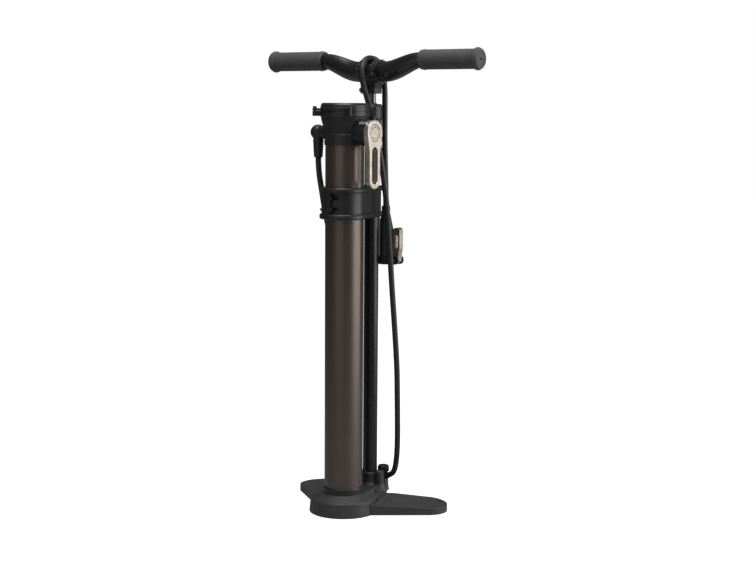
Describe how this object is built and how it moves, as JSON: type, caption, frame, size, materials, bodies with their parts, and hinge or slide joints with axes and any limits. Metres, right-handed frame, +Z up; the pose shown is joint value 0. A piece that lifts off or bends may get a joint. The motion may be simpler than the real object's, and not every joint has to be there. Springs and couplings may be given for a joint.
{
  "type": "floor bike pump",
  "caption": "Tall floor pump with a bolt-on air chamber, gauge head, release lever, clamped handlebar handle, docked valve head and a foot base.",
  "frame": {"origin": "on the floor, on the common axis of the pump barrel and its rod", "axes": "+Z up along the barrel, X along the handlebar, the air chamber stands towards -Y"},
  "size_m": [0.396, 0.1639, 0.7217],
  "materials": {
    "base_black": "cast, satin black coat",
    "rubber_black": "matte",
    "bronze_anodised": "satin anodised",
    "black_plastic": "satin moulded",
    "black_steel": "black oxide",
    "black_barrel": "satin anodised black",
    "black_alloy": "satin black coat",
    "steel": "turned",
    "chrome_rod": "polished",
    "brass": "turned",
    "nickel": "satin nickel",
    "handlebar_black": "gloss black coat",
    "grip_rubber": "matte textured",
    "lens": "clear",
    "dial_white": "printed",
    "pointer_red": "matte",
    "hose_rubber": "satin",
    "seal_rubber": "matte",
    "bush_plastic": "moulded"
  },
  "bodies": {
    "pump": {"barrel_cap": "black_plastic", "barrel_tube": "black_barrel", "base_housing": "base_black", "base_screws": "black_steel", "bourdon_tube": "brass", "bracket_left": "black_plastic", "bracket_right": "black_plastic", "bracket_screws": "black_steel", "chamber_bolt": "black_steel", "chamber_foot_cap": "black_plastic", "chamber_foot_seal": "seal_rubber", "chamber_head": "black_plastic", "chamber_head_seal": "seal_rubber", "chamber_tube": "bronze_anodised", "foot_plate": "base_black", "gauge_bezel": "black_plastic", "gauge_bezel_screws": "black_steel", "gauge_dial": "dial_white", "gauge_lens": "lens", "gauge_movement": "brass", "head_body": "black_plastic", "head_cap": "black_plastic", "head_dock": "black_plastic", "head_gland": "seal_rubber", "head_hose_nut": "black_steel", "inlet_elbow": "black_plastic", "inlet_ferrule": "black_plastic", "link_ferrule": "black_plastic", "link_hose": "hose_rubber", "link_port": "brass", "outlet_banjo": "black_steel", "outlet_cap_nut": "black_plastic", "outlet_hose": "hose_rubber", "rod_bush": "bush_plastic", "rod_wiper": "seal_rubber", "rubber_feet": "rubber_black", "valve_seat": "brass", "valve_spring": "steel"},
    "handle": {"piston_rod": "chrome_rod", "piston": "bush_plastic", "piston_seal": "seal_rubber", "top_out_bumper": "seal_rubber", "stem_body": "black_alloy", "stem_cap": "black_alloy", "clamp_bolts": "black_steel", "stem_pinch_bolt": "steel", "handlebar": "handlebar_black", "grip_left": "grip_rubber", "grip_right": "grip_rubber", "bar_end_plugs": "black_plastic"},
    "release_lever": {"release_lever": "nickel", "release_spindle": "steel", "release_spindle_seals": "seal_rubber", "release_lever_screw": "steel", "release_lever_disc": "nickel"},
    "head_lever": {"head_lever": "nickel", "head_lever_pin": "steel"},
    "head_plunger": {"head_plunger": "bush_plastic"},
    "gauge_pointer": {"gauge_pointer": "pointer_red"},
    "check_valve": {"valve_poppet": "seal_rubber"}
  },
  "joints": [
    {"name": "handle_slide", "type": "slide", "parent": "pump", "child": "handle", "axis": [0, 0, 1], "range_m": [0, 0.5], "deforming": ["outlet_hose"]},
    {"name": "release_lever_turn", "type": "hinge", "parent": "pump", "child": "release_lever", "pos_m": [0.048, -0.072, 0.593], "axis": [-1, 0, 0], "range_deg": [0, 90]},
    {"name": "head_lever_flip", "type": "hinge", "parent": "pump", "child": "head_lever", "pos_m": [0.0335, 0.024, 0.3915], "axis": [0, 1, 0], "range_deg": [0, 90]},
    {"name": "head_plunger_travel", "type": "slide", "parent": "pump", "child": "head_plunger", "axis": [0, 0, 1], "range_m": [0, 0.003]},
    {"name": "gauge_pointer_turn", "type": "hinge", "parent": "pump", "child": "gauge_pointer", "pos_m": [0, -0.072, 0.629], "axis": [0, 0, -1], "range_deg": [0, 270]},
    {"name": "check_valve_lift", "type": "slide", "parent": "pump", "child": "check_valve", "axis": [0, 0, -1], "range_m": [0, 0.0012], "stiffness_N_per_m": 150, "springref_m": -0.002, "deforming": ["valve_spring"]}
  ],
  "couplings": [
    {"joint": "head_plunger_travel", "follows": "head_lever_flip", "m_per_rad": 0.0019}
  ]
}
